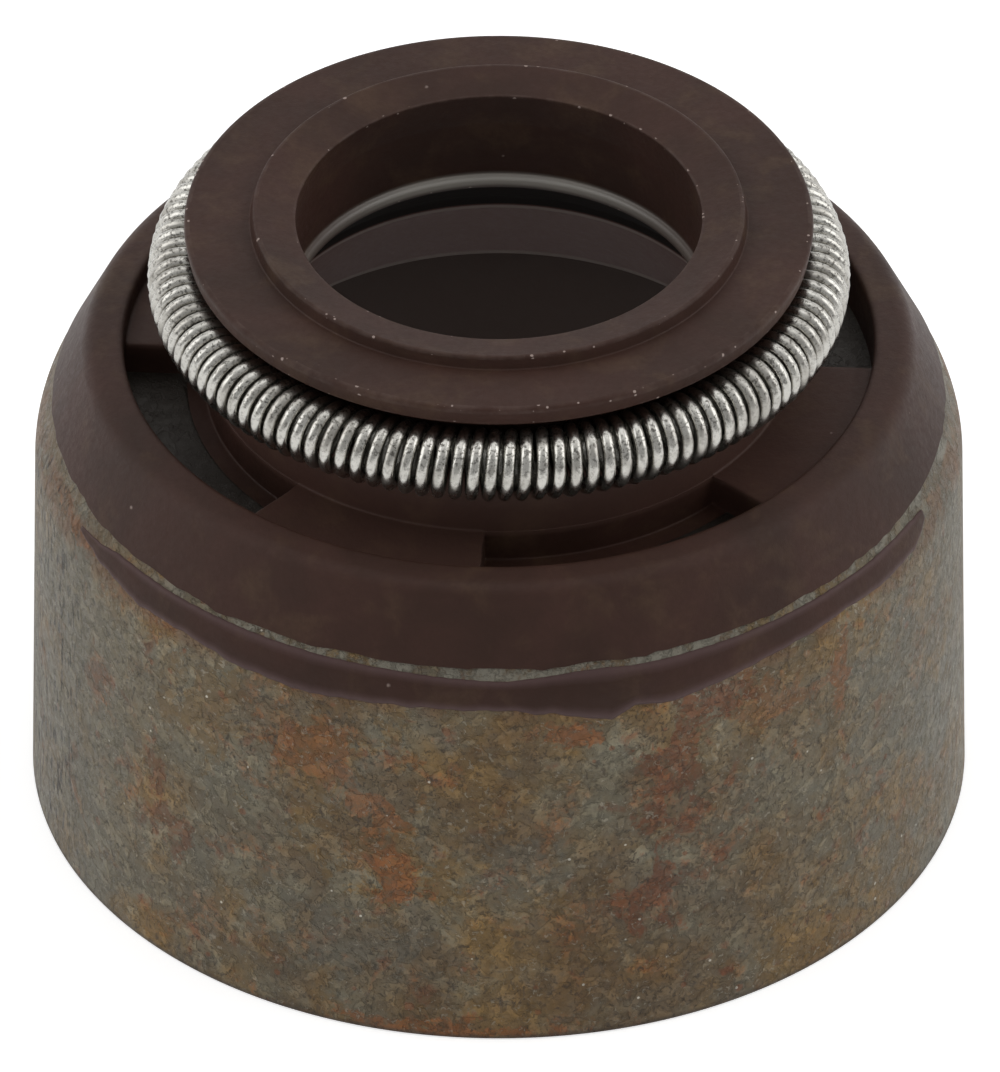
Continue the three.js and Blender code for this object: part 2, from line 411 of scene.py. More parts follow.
def specks_group():
    """Small round specks: one cell in a few holds one, and its size varies."""
    name = "fine_specks"
    if name in bpy.data.node_groups:
        return bpy.data.node_groups[name]
    inputs = [("Vector", VECTOR, None), ("Cells per mm", FLOAT, 3.0)]
    inputs += [("Share", FLOAT, 0.2), ("Size", FLOAT, 0.15)]
    tree, given, result = shader_group(name, inputs, [("Mask", FLOAT)])
    cells = node(tree, "ShaderNodeTexVoronoi", {"Vector": given["Vector"], "Scale": given["Cells per mm"]})
    pick = node(tree, "ShaderNodeSeparateColor", {0: cells.outputs["Color"]}).outputs
    chosen = calc(tree, "LESS_THAN", pick[0], given["Share"])
    size = times(tree, given["Size"], plus(tree, pick[1], 0.35))
    warp = times(tree, cloud(tree, given["Vector"], 25.0, 2.0), size)
    near = calc(tree, "SUBTRACT", plus(tree, size, warp), cells.outputs["Distance"])
    feed(tree, result.inputs["Mask"], times(tree, remap(tree, near, 0.0, 0.06), chosen))
    return tree


def mottle_group():
    """Clouds with soft or hard borders."""
    name = "mottle"
    if name in bpy.data.node_groups:
        return bpy.data.node_groups[name]
    inputs = [
        ("Vector", VECTOR, None),
        ("Scale", FLOAT, 1.0),
        ("Detail", FLOAT, 4.0),
        ("Level", FLOAT, 0.5),
        ("Softness", FLOAT, 0.1),
        ("Distortion", FLOAT, 0.4),
    ]
    tree, given, result = shader_group(name, inputs, [("Mask", FLOAT)])
    value = cloud(tree, given["Vector"], given["Scale"], given["Detail"], 0.6, given["Distortion"])
    low = calc(tree, "SUBTRACT", given["Level"], given["Softness"])
    high = calc(tree, "ADD", given["Level"], given["Softness"])
    feed(tree, result.inputs["Mask"], remap(tree, value, low, high))
    return tree


def edge_group():
    """Where outer edges are rubbed, broken up by a fine cloud."""
    name = "rubbed_edges"
    if name in bpy.data.node_groups:
        return bpy.data.node_groups[name]
    inputs = [("Edge", FLOAT, 0.0), ("Vector", VECTOR, None), ("Amount", FLOAT, 0.5)]
    tree, given, result = shader_group(name, inputs, [("Mask", FLOAT)])
    broken = remap(tree, cloud(tree, given["Vector"], 2.6, 5.0, 0.65), 0.38, 0.66)
    feed(tree, result.inputs["Mask"], times(tree, given["Edge"], broken, given["Amount"]))
    return tree


def new_material(name):
    """An empty material, its tree, its surface shader and object coordinates in millimetres."""
    material = bpy.data.materials.new(name)
    material.use_nodes = True
    tree = material.node_tree
    tree.nodes.clear()
    shader = node(tree, "ShaderNodeBsdfPrincipled")
    output = node(tree, "ShaderNodeOutputMaterial")
    feed(tree, output.inputs["Surface"], shader.outputs[0])
    place = node(tree, "ShaderNodeTexCoord").outputs["Object"]
    scaled = node(tree, "ShaderNodeMapping", {"Vector": place, "Scale": (1 / MM,) * 3}).outputs[0]
    return material, tree, shader, scaled


def from_axis(tree, place):
    """Distance from the seal's axis and height, both in mm, and the axes that they come from."""
    axes = node(tree, "ShaderNodeSeparateXYZ", {0: place}).outputs
    ring = node(tree, "ShaderNodeCombineXYZ", {0: axes["X"], 1: axes["Y"]}).outputs[0]
    radius = node(tree, "ShaderNodeVectorMath", {0: ring}, operation="LENGTH").outputs["Value"]
    return radius, axes["Z"], axes


def specks(tree, place, cells, part, size):
    inputs = {"Vector": place, "Cells per mm": cells, "Share": part, "Size": size}
    return placed(tree, specks_group(), inputs)["Mask"]


def mottle(tree, place, scale, level, softness, detail=4.0):
    inputs = {"Vector": place, "Scale": scale, "Level": level, "Softness": softness, "Detail": detail}
    return placed(tree, mottle_group(), inputs)["Mask"]


def rubbed(tree, place, edge, amount):
    return placed(tree, edge_group(), {"Edge": edge, "Vector": place, "Amount": amount})["Mask"]


def moulded_rubber(finish, name):
    """Rubber as it comes from the mould, before its colour and roughness are fed to the shader."""
    material, tree, shader, place = new_material(name)
    edge = node(tree, "ShaderNodeAttribute", attribute_name="edge").outputs["Fac"]
    grain = cloud(tree, place, 9.0, 5.0, 0.7)
    base = mixed(tree, mottle(tree, place, 0.5, 0.5, 0.22), finish.rubber, finish.rubber_dark)
    base = cover(tree, base, mottle(tree, place, 1.1, 0.6, 0.12), 0.45, finish.rubber_stain)
    base = mixed(tree, remap(tree, grain, 0.3, 0.7, 0.0, 0.3), base, finish.rubber_dark)
    rough = remap(tree, grain, 0.3, 0.7, 0.46, 0.6, "LINEAR")
    shader.inputs["Specular IOR Level"].default_value = 0.18
    height = plus(tree, times(tree, grain, 0.5), cloud(tree, place, 1.6, 4.0))
    bump = node(tree, "ShaderNodeBump", {"Height": height, "Distance": 0.03 * MM, "Strength": 0.5})
    feed(tree, shader.inputs["Normal"], bump.outputs[0])
    return material, tree, shader, place, edge, base, rough


def film_material(finish):
    material, tree, shader, place, edge, base, rough = moulded_rubber(finish, "brown_rubber_film")
    base = cover(tree, base, edge, 0.55, finish.rubber_rim)
    base = cover(tree, base, specks(tree, place, 1.7, 0.16, 0.045), 0.7, finish.dust)
    feed(tree, shader.inputs["Base Color"], base)
    feed(tree, shader.inputs["Roughness"], rough)
    return material


def rubber_material(finish, rubber):
    """The lip that rubs the stem has a glossy coat and a painted highlight. The hollow behind it is painted
    shade, the cone's edges carry painted highlights, and the cone under the lip, the lining and the groove are
    painted lighter as fill light.
    """
    material, tree, shader, place, edge, base, rough = moulded_rubber(finish, "brown_moulded_rubber")
    base = mixed(tree, rubbed(tree, place, edge, 0.07), base, finish.dust)
    base = mixed(tree, times(tree, specks(tree, place, 8.0, 0.5, 0.14), edge), base, finish.dust)
    base = cover(tree, base, specks(tree, place, 1.7, 0.16, 0.045), 0.7, finish.dust)
    radius, height, axes = from_axis(tree, place)
    lip_height, throat_top, throat_foot = rubber.lip / MM, rubber.throat_top / MM, rubber.throat_foot / MM
    throat, stop, stop_height = rubber.throat / MM, rubber.stop / MM, rubber.stop_height / MM
    neck, rim = rubber.neck / MM, rubber.rim / MM

    # Painted highlight on the lip's bead, full at the front and back of the bore and a quarter as strong at its
    # sides.
    lip = span(tree, height, lip_height - 0.1, lip_height, lip_height + 0.04, lip_height + 0.18)
    lip = times(tree, remap(tree, radius, 3.42, 3.36), lip)
    lip = times(tree, lip, remap(tree, calc(tree, "ABSOLUTE", axes["X"]), 3.2, 0.9, 0.25, 1.0))
    # Painted fill light: the cone under the lip and all rubber below the guide stop are painted paler.
    cone = times(
        tree,
        remap(tree, radius, neck - 0.07, neck - 0.11),
        remap(tree, height, throat_top + 0.03, throat_top - 0.03),
    )
    inner = highest(tree, cone, remap(tree, height, stop_height + 0.1, stop_height + 0.04))
    # Painted shade in the hollow behind the lip, made dark and matt.
    undercut_shade = times(
        tree,
        remap(tree, radius, throat + 0.065, throat + 0.005),
        span(tree, height, throat_foot, throat_foot + 0.04, lip_height - 0.16, lip_height - 0.09),
    )
    # Painted highlights on the cone's lower edge (foot) and upper edge (brow).
    foot = times(
        tree,
        span(tree, height, stop_height, stop_height + 0.04, stop_height + 0.1, stop_height + 0.17),
        remap(tree, radius, stop + 0.205, stop + 0.105),
    )
    brow_highlight = times(
        tree,
        span(tree, height, throat_foot - 0.11, throat_foot - 0.07, throat_foot - 0.02, throat_foot + 0.01),
        remap(tree, radius, throat + 0.165, throat + 0.115),
    )
    # Painted fill light: the neck and the groove's floor are painted up to 0.28 of the way to a paler colour.
    groove_fill_light = times(
        tree,
        remap(tree, radius, rim - 0.013, rim - 0.093),
        remap(tree, radius, neck - 0.1, neck - 0.05),
        remap(tree, height, 9.4, 9.2, 0.0, 0.28),
        remap(tree, height, 7.9, 7.98),
    )
    base = cover(tree, base, inner, 0.85, finish.inner_cone_fill_light)
    # Painted fill light: the rubber below the guide stop is painted paler and greyer.
    inside = remap(tree, height, stop_height + 0.02, stop_height - 0.02)
    base = cover(tree, base, inside, 0.7, finish.lining)
    base = mixed(tree, groove_fill_light, base, finish.groove_fill_light)
    base = cover(tree, base, lip, 0.95, finish.lip)
    base = mixed(tree, undercut_shade, base, finish.undercut_shade)
    base = cover(tree, base, highest(tree, foot, brow_highlight), 0.5, finish.cone_edge_highlight)
    feed(tree, shader.inputs["Base Color"], base)
    rough = node(tree, "ShaderNodeMix", {0: undercut_shade, 2: rough, 3: 0.95}).outputs[0]
    feed(tree, shader.inputs["Roughness"], rough)
    feed(tree, shader.inputs["Coat Weight"], highest(tree, lip, times(tree, inner, 0.1)))
    shader.inputs["Coat Roughness"].default_value = 0.42
    shader.inputs["Coat IOR"].default_value = 1.75
    return material


def spot_group():
    """One soft-edged patch: its place, turn and size come from the vector that is fed in."""
    name = "single_patch"
    if name in bpy.data.node_groups:
        return bpy.data.node_groups[name]
    inputs = [("Vector", VECTOR, None), ("Grain", FLOAT, 0.5), ("Strength", FLOAT, 1.0)]
    tree, given, result = shader_group(name, inputs, [("Mask", FLOAT)])
    far = node(tree, "ShaderNodeVectorMath", {0: given["Vector"]}, operation="LENGTH").outputs["Value"]
    ragged = plus(tree, far, times(tree, calc(tree, "SUBTRACT", given["Grain"], 0.5), 7.0))
    mask = remap(tree, ragged, 1.0, 0.55)
    feed(tree, result.inputs["Mask"], times(tree, mask, given["Strength"]))
    return tree


# Patches on the case's wall: degrees clockwise from +X, height, half width and half height in mm, strength
RUST_PATCHES = (
    (81, 5.95, 0.5, 0.25, 0.75),
    (102.5, 3.0, 0.5, 0.45, 0.8),
    (114, 5.4, 1.0, 0.6, 0.55),
    (105, 4.4, 0.5, 0.5, 0.55),
    (98, 5.2, 0.4, 0.4, 0.45),
    (137, 6.55, 0.7, 0.3, 0.5),
    (155, 6.74, 0.9, 0.13, 0.9),
    (165, 6.86, 0.7, 0.1, 0.8),
    (43, 5.5, 0.18, 0.7, 0.6),
    (54, 5.6, 0.9, 0.5, 0.35),
    (95, 0.1, 2.2, 0.2, 0.7),
)
OLD_RUST_PATCHES = (
    (69, 4.9, 0.45, 1.3, 0.75),
    (71, 2.6, 0.55, 0.6, 0.8),
    (66, 3.9, 0.35, 0.4, 0.7),
    (62, 6.08, 0.6, 0.35, 0.75),
    (137.5, 2.8, 0.5, 0.7, 0.6),
    (72, 2.77, 0.14, 0.12, 0.9),
    (69.5, 2.1, 0.12, 0.14, 0.8),
    (62, 3.05, 0.16, 0.12, 0.8),
    (61, 0.67, 0.14, 0.1, 0.8),
    (150, 4.6, 0.3, 0.5, 0.5),
)
OCHRE_PATCHES = (
    (110, 5.0, 1.3, 1.3, 0.85),
    (103, 3.2, 1.2, 1.0, 0.8),
    (128, 5.4, 0.9, 0.8, 0.6),
    (88, 1.8, 1.6, 0.8, 0.5),
    (59, 5.4, 1.0, 0.8, 0.5),
)
COOL_PATCHES = (
    (107, 4.6, 0.5, 0.5, 0.5),
    (88, 3.4, 0.6, 0.7, 0.4),
    (108, 1.7, 1.3, 0.8, 0.45),
    (30, 4.0, 1.6, 2.6, 0.4),
)


def patches(tree, place, grain, spots, wall):
    """The strongest of several patches at each point of the wall."""
    mask = 0.0
    for degrees, height, half_width, half_height, strength in spots:
        turn = -math.radians(degrees)
        centre = (wall * math.cos(turn), wall * math.sin(turn), height)
        sizes = {"Location": centre, "Rotation": (0, 0, turn), "Scale": (1.2, half_width, half_height)}
        local = node(tree, "ShaderNodeMapping", {"Vector": place, **sizes}, vector_type="TEXTURE").outputs[0]
        inputs = {"Vector": local, "Grain": grain, "Strength": strength}
        mask = highest(tree, mask, placed(tree, spot_group(), inputs)["Mask"])
    return mask


def tint(tree, base, value, low, high, darkest, lightest):
    """Base colour times a brightness that follows a value."""
    level = remap(tree, value, low, high, darkest, lightest, "LINEAR")
    grey = node(tree, "ShaderNodeCombineColor", {0: level, 1: level, 2: level}).outputs[0]
    return mixed(tree, 1.0, base, grey, "MULTIPLY")


def steel_material(finish, case):
    material, tree, shader, place = new_material("phosphated_steel_rusting")
    edge = node(tree, "ShaderNodeAttribute", attribute_name="edge").outputs["Fac"]
    radius, height, axes = from_axis(tree, place)
    wall = case.radius / MM

    def clouds(scale, level, softness):
        return mottle(tree, place, scale, level, softness, 7.0)

    def spots(chosen):
        return patches(tree, place, coarse, chosen, wall)

    # The structure of the coat, from coarse to fine
    coarse = cloud(tree, place, 1.5, 6.0, 0.7, 0.3)
    crust = clouds(1.5, 0.5, 0.025)
    islands = clouds(3.4, 0.52, 0.03)
    grain = cloud(tree, place, 6.0, 7.0, 0.78)
    flake = cloud(tree, place, 10.0, 3.0, 0.6, 0.8)
    upright = node(tree, "ShaderNodeMapping", {"Vector": place, "Scale": (9.0, 9.0, 2.6)}).outputs[0]
    scratch = cloud(tree, upright, 1.0, 3.0, 0.6)
    crystals = node(tree, "ShaderNodeTexVoronoi", {"Vector": place, "Scale": 11.0}).outputs["Color"]
    tone = node(tree, "ShaderNodeSeparateColor", {0: crystals}).outputs
    pits = times(tree, remap(tree, flake, 0.41, 0.37), remap(tree, coarse, 0.42, 0.55))
    scores = times(tree, remap(tree, scratch, 0.36, 0.31), remap(tree, coarse, 0.4, 0.5))
    sparks = times(tree, remap(tree, flake, 0.6, 0.65), remap(tree, coarse, 0.58, 0.46))
    flecks = times(tree, remap(tree, scratch, 0.44, 0.4), remap(tree, axes["X"], -6.3, -7.1))

    # Colours of the coat, then rust
    base = mixed(tree, clouds(0.45, 0.52, 0.1), finish.phosphate, finish.ochre)
    base = cover(tree, base, clouds(1.3, 0.56, 0.05), 0.45, finish.pale_coat)
    base = mixed(tree, spots(OCHRE_PATCHES), base, finish.ochre)
    # The brown film is stronger on the front that faces the camera: partly a real film, partly painted shade.
    front_shade = remap(tree, axes["Y"], -7.4, -4.0, 1.0, 0.0)
    film = times(tree, clouds(0.75, 0.48, 0.14), plus(tree, times(tree, front_shade, 0.5), 0.15))
    base = mixed(tree, film, base, finish.brown)
    base = cover(tree, base, clouds(0.6, 0.6, 0.08), 0.35, finish.blue_grey)
    base = mixed(tree, spots(COOL_PATCHES), base, finish.blue_grey)
    fresh = times(tree, clouds(1.0, 0.6, 0.07), remap(tree, grain, 0.42, 0.6), 0.5)
    fresh = highest(tree, fresh, spots(RUST_PATCHES))
    old = highest(tree, times(tree, clouds(1.7, 0.63, 0.05), 0.6), spots(OLD_RUST_PATCHES))
    flaked = remap(tree, grain, 0.36, 0.54, 0.25, 1.0)
    base = mixed(tree, times(tree, fresh, flaked), base, finish.rust)
    base = mixed(tree, times(tree, old, flaked), base, finish.old_rust)

    # Light and dark grain, pits, painted glints and a painted sheen on the sides
    base = tint(tree, base, grain, 0.3, 0.7, 0.8, 1.2)
    base = tint(tree, base, crust, 0.0, 1.0, 0.88, 1.1)
    base = tint(tree, base, islands, 0.0, 1.0, 0.84, 1.12)
    base = tint(tree, base, tone[0], 0.0, 1.0, 0.9, 1.1)
    base = cover(tree, base, pits, 0.6, finish.pit)
    base = cover(tree, base, scores, 0.5, finish.score)
    base = cover(tree, base, specks(tree, place, 3.4, 0.14, 0.16), 0.6, finish.old_rust)
    base = cover(tree, base, sparks, 0.45, finish.crystal)
    # Painted glints on the coat.
    base = cover(tree, base, specks(tree, place, 4.5, 0.12, 0.075), 0.9, finish.glint)
    # Painted sheen: the coat turns greyer towards the left and right sides as seen from the camera, up to half
    # way.
    flank_sheen = remap(tree, calc(tree, "ABSOLUTE", axes["X"]), 5.4, 7.2, 0.0, 0.5)
    base = mixed(tree, flank_sheen, base, finish.flank_sheen)
    base = cover(tree, base, flecks, 0.75, finish.fleck)

    # The foot, the edges, the strip beside the rubber and painted shade on the pockets' floors
    base = cover(tree, base, remap(tree, height, 0.14, 0.03), 0.85, finish.foot_line)
    base = mixed(tree, rubbed(tree, place, edge, 0.3), base, finish.phosphate)
    stain = times(tree, remap(tree, height, 6.2, 6.55), remap(tree, coarse, 0.42, 0.56))
    base = cover(tree, base, stain, 0.55, finish.film_stain)
    worn = mixed(tree, remap(tree, coarse, 0.38, 0.6), finish.dull_steel, finish.bare_steel)
    worn = mixed(tree, remap(tree, axes["X"], -4.6, -6.2), worn, finish.tan_steel)
    band = times(tree, remap(tree, height, 6.9, 6.98), remap(tree, coarse, 0.4, 0.54))
    base = cover(tree, base, band, 0.85, worn)
    # Painted shade: steel within 6.1 to 6.3 mm of the axis, the flange under the rubber and the pockets'
    # floors, is painted dark.
    base = mixed(tree, remap(tree, radius, 6.3, 6.1), base, finish.pocket_floor_shade)
    feed(tree, shader.inputs["Base Color"], base)

    rusty = highest(tree, fresh, old, film)
    feed(tree, shader.inputs["Metallic"], remap(tree, rusty, 0.0, 1.0, 0.4, 0.0, "LINEAR"))
    rough = remap(tree, tone[1], 0.0, 1.0, 0.42, 0.6, "LINEAR")
    feed(tree, shader.inputs["Roughness"], plus(tree, rough, times(tree, rusty, 0.2)))
    relief = plus(tree, times(tree, tone[2], 0.4), grain, times(tree, coarse, 1.2))
    relief = plus(tree, relief, plus(tree, times(tree, crust, 0.5), islands))
    relief = calc(tree, "SUBTRACT", relief, times(tree, pits, 0.8))
    relief = plus(tree, relief, times(tree, sparks, 0.5))
    relief = times(tree, relief, remap(tree, radius, 6.2, 6.5, 0.15, 1.0))
    bump = node(tree, "ShaderNodeBump", {"Height": relief, "Distance": 0.038 * MM, "Strength": 0.85})
    feed(tree, shader.inputs["Normal"], bump.outputs[0])
    return material


def wire_material(finish):
    material, tree, shader, place = new_material("bright_spring_wire")
    clouds = mottle(tree, place, 1.6, 0.55, 0.12)
    dirt = remap(tree, cloud(tree, place, 17.0, 4.0, 0.7), 0.5, 0.62)
    height = from_axis(tree, place)[1]
    dirt = times(tree, dirt, remap(tree, height, 9.55, 10.05, 0.25, 1.0))
    base = cover(tree, finish.wire, clouds, 0.4, finish.wire_dull)
    base = cover(tree, base, dirt, 0.75, finish.wire_dirt)
    feed(tree, shader.inputs["Base Color"], base)
    shader.inputs["Metallic"].default_value = 1.0
    feed(tree, shader.inputs["Roughness"], remap(tree, clouds, 0.0, 1.0, 0.22, 0.34, "LINEAR"))
    scratches = cloud(tree, place, 22.0, 3.0, 0.6)
    bump = node(tree, "ShaderNodeBump", {"Height": scratches, "Distance": 0.004 * MM, "Strength": 0.4})
    feed(tree, shader.inputs["Normal"], bump.outputs[0])
    return material


# Pieces


class Corner:
    """The case's outside: its wall, lower corner, short cone and upper corner."""

    def __init__(self, case):
        self.case = case
        slope = case.slope
        difference = case.shoulder_radius - case.flange_radius
        rise = difference * math.sin(slope) + case.slope_length * math.cos(slope) + case.flange_radius
        self.wall_top = case.height - rise
        self.big = (case.radius - case.taper - case.shoulder_radius, self.wall_top)
        self.small = (
            self.big[0] + difference * math.cos(slope) - case.slope_length * math.sin(slope),
            case.height - case.flange_radius,
        )

    def outside(self, depth=0.0, steps=10):
        """Points from the wall's top to the flange, on the surface or that far under it."""
        lean = math.degrees(self.case.slope)
        low = arc(self.big, self.case.shoulder_radius - depth, 0, lean, steps)
        high = arc(self.small, max(self.case.flange_radius - depth, 0.001 * MM), lean, 90, steps)
        return low + high

    def at(self, height):
        """The surface's radius and the lean of its outward normal at one height."""
        case = self.case
        if height <= self.wall_top:
            return case.radius - case.taper * height / self.wall_top, 0.0
        cone_low = self.big[1] + case.shoulder_radius * math.sin(case.slope)
        cone_high = self.small[1] + case.flange_radius * math.sin(case.slope)
        if height < cone_low:
            lean = math.asin((height - self.big[1]) / case.shoulder_radius)
            return self.big[0] + case.shoulder_radius * math.cos(lean), lean
        if height < cone_high:
            start = self.big[0] + case.shoulder_radius * math.cos(case.slope)
            return start - (height - cone_low) * math.tan(case.slope), case.slope
        lean = math.asin(min(1.0, (height - self.small[1]) / case.flange_radius))
        return self.small[0] + case.flange_radius * math.cos(lean), lean


class SEAL_OT_make_case(bpy.types.Operator):
    """Make the drawn steel case"""

    bl_idname = "seal.make_case"
    bl_label = "Make case"

    def execute(self, context):
        case = context.scene.seal_case
        corner = Corner(case)
        inside = [(r, z, 0.0) for r, z, _ in reversed(corner.outside(case.sheet))]
        cut = case.edge_round
        profile = [(case.radius - case.sheet, 0.0, cut), (case.radius, 0.0, cut)]
        profile += corner.outside()
        profile += [(case.flange_hole, case.height, cut), (case.flange_hole, case.height - case.sheet, cut)]
        profile += inside
        points, edges = lathe_profile(profile)
        angles = np.linspace(0, 2 * math.pi, 360, endpoint=False)
        shape = round_axis(points, angles)
        piece = grid_mesh("drawn_case", shape, np.tile(edges, (len(angles), 1)))
        material = steel_material(context.scene.seal_finish, case)
        fit(piece, "metal_case", material)
        return {"FINISHED"}


def lathe_profile(corners):
    """Rounds the corners that have a rounding and keeps the others as single points."""
    full, edges = rounded(corners)
    block = ARC_STEPS + 3
    points, shares = [], []
    for i, corner in enumerate(corners):
        if corner[2] > 0:
            points += list(full[i * block : (i + 1) * block])
            shares += list(edges[i * block : (i + 1) * block])
        else:
            points.append(np.array(corner[:2]))
            shares.append(0.0)
    return np.array(points), np.array(shares)


def pocket_columns(rubber):
    """Angles of the columns and, for each, how deep it is: 0 on the webs, 1 over a pocket's floor."""
    steps = np.radians([-0.9, -0.35, -0.1, 0.0, 0.07, 0.14, 0.21, 0.3, 0.55, 1.1])
    depths = [0.0, 0.0, 0.012, 0.06, 0.36, 0.66, 0.94, 0.988, 1.0, 1.0]
    found = []
    pitch = 2 * math.pi / rubber.pockets
    for n in range(rubber.pockets):
        start = rubber.pocket_start + n * pitch
        end = start + rubber.pocket_angle
        found += [(start + s, d) for s, d in zip(steps, depths)]
        found += [(end - s, d) for s, d in zip(steps, depths)]
        inside = np.linspace(start + steps[-1], end - steps[-1], 33)[1:-1]
        between = np.linspace(end - steps[0], start + pitch + steps[0], 25)[1:-1]
        found += [(a, 1.0) for a in inside] + [(a, 0.0) for a in between]
    found.sort()
    return np.array([a for a, _ in found]), np.array([d for _, d in found])


class SEAL_OT_make_rubber(bpy.types.Operator):
    """Make the rubber body with its head, neck, groove, pockets, bore lips and lining"""

    bl_idname = "seal.make_rubber"
    bl_label = "Make rubber body"

    def execute(self, context):
        rubber, case, spring = context.scene.seal_rubber, context.scene.seal_case, context.scene.seal_spring
        corner = Corner(case)
        web, floor = self.groove(rubber, case)
        rest = self.head(rubber, spring) + self.bore(rubber) + self.lining(rubber)
        rest += self.bonded(rubber, case, corner)
        whole, edges = lathe_profile(self.cone(rubber, corner, 0.0) + web + rest)
        outside = len(lathe_profile(self.cone(rubber, corner, 0.0) + web)[0])
        edges[:outside] = 0.0
        neighbours = [rest[0], rest[-1]]
        angles, depth = pocket_columns(rubber)
        shape = []
        for turn, deep in zip(angles, depth):
            cone = self.cone(rubber, corner, turn)
            on_web = lathe_profile(cone + web + neighbours)[0][:outside]
            in_pocket = lathe_profile(cone + floor + neighbours)[0][:outside]
            column = np.concatenate([on_web * (1 - deep) + in_pocket * deep, whole[outside:]])
            shape.append(round_axis(column, [turn])[0])
        piece = grid_mesh("seal_rubber", np.array(shape), np.tile(edges, (len(angles), 1)))
        material = rubber_material(context.scene.seal_finish, rubber)
        fit(piece, "rubber_body", material)
        return {"FINISHED"}

    def cone(self, rubber, corner, turn):
        """The outside from the rubber's wavy lower edge up to the rim."""
        degrees = math.degrees(turn)
        wave = noise.noise((degrees * 0.16, 2.0, 0.0)) + 0.5 * noise.noise((degrees * 0.6, 7.0, 0.0))
        low = rubber.lower_edge + rubber.edge_wave * wave
        radius = corner.at(low)[0]
        return [
            (radius + 0.005 * MM, low, 0.02 * MM),
            (radius + 0.022 * MM, low + 0.012 * MM, 0.015 * MM),
            (rubber.crease, rubber.crease_height, 0.35 * MM),
            (rubber.rim, rubber.rim_height, 0.1 * MM),
        ]

    def groove(self, rubber, case):
        """The groove's floor over the webs, and over the pockets. Both have as many points."""
        web = [
            (rubber.rim - 0.01 * MM, rubber.web, 0.06 * MM),
            (rubber.pocket_inside + 0.3 * MM, rubber.web, 0.01 * MM),
            (rubber.pocket_inside + 0.2 * MM, rubber.web, 0.01 * MM),
            (rubber.neck, rubber.web, 0.05 * MM),
        ]
        floor = [
            (rubber.rim - 0.02 * MM, case.height - 0.04 * MM, 0.04 * MM),
            (rubber.pocket_inside, case.height, 0.04 * MM),
            (rubber.pocket_inside, rubber.web, 0.04 * MM),
            (rubber.neck, rubber.web, 0.05 * MM),
        ]
        return web, floor

    def head(self, rubber, spring):
        """The spring's seat in the neck, the disc and the raised ring."""
        seat = spring.coil_radius + spring.seat_gap
        reach = math.degrees(math.acos((spring.ring_radius - rubber.neck) / seat))
        return arc((spring.ring_radius, spring.height), seat, 180 + reach, 180 - reach, 12) + [
            (rubber.head - 0.06 * MM, rubber.disc_under, 0.06 * MM),
            (rubber.head, rubber.disc_top, 0.08 * MM),
            (rubber.ring_foot, rubber.disc_top, 0.03 * MM),
            (rubber.ring_crest, rubber.crest, 0.06 * MM),
            (rubber.bore, rubber.bore_edge, 0.03 * MM),
        ]

    def bore(self, rubber):
        """From the bore's edge over the lip and down the cone to the face that the valve guide meets."""
        lip = (rubber.bore + rubber.lip_round, rubber.lip)
        return [
            (rubber.relief, rubber.relief_height, 0.05 * MM),
            (rubber.relief + 0.03 * MM, rubber.lip + 0.11 * MM, 0.035 * MM),
            *arc(lip, rubber.lip_round, 100, 180, 8),
            (rubber.bore, rubber.lip - 0.08 * MM, 0.04 * MM),
            (rubber.throat, rubber.throat_top, 0.06 * MM),
            (rubber.throat, rubber.throat_foot, 0.05 * MM),
            (rubber.stop, rubber.stop_height, 0.12 * MM),
            (rubber.lining, rubber.stop_height, 0.25 * MM),
        ]

    def lining(self, rubber):
        """Down the lining, over its ribs, to the lead-in at its lower end."""
        wall = rubber.lining
        corners = []
        for n in reversed(range(rubber.ribs)):
            height = rubber.lowest_rib + n * rubber.rib_pitch
            corners.append((wall, height + rubber.rib_foot, 0.1 * MM))
            corners.append((rubber.rib, height, 0.1 * MM))
            corners.append((wall, height - rubber.rib_foot, 0.1 * MM))
        corners.append((wall, rubber.lining_foot + rubber.lead_in, 0.08 * MM))
        corners.append((wall + rubber.lead_in, rubber.lining_foot, 0.08 * MM))
        return corners

    def bonded(self, rubber, case, corner):
        """Up inside the case, round the flange's hole and out over the flange, all sunk in the steel."""
        sunk, foot = rubber.sunk, rubber.lining_foot
        under = case.height - case.sheet + sunk
        over = 1.4 * sunk
        hole = case.flange_hole + sunk
        faces = [(corner.at(foot)[0] - case.sheet + sunk, foot, 0.0)]
        faces += corner.outside(case.sheet - sunk, 4)[:5]
        faces += [(corner.small[0] - 0.1 * MM, under, 0.0), (hole, under, 0.0), (hole, case.height - over, 0.0)]
        faces += reversed(arc(corner.small, case.flange_radius - over, 28, 90, 5))
        return faces


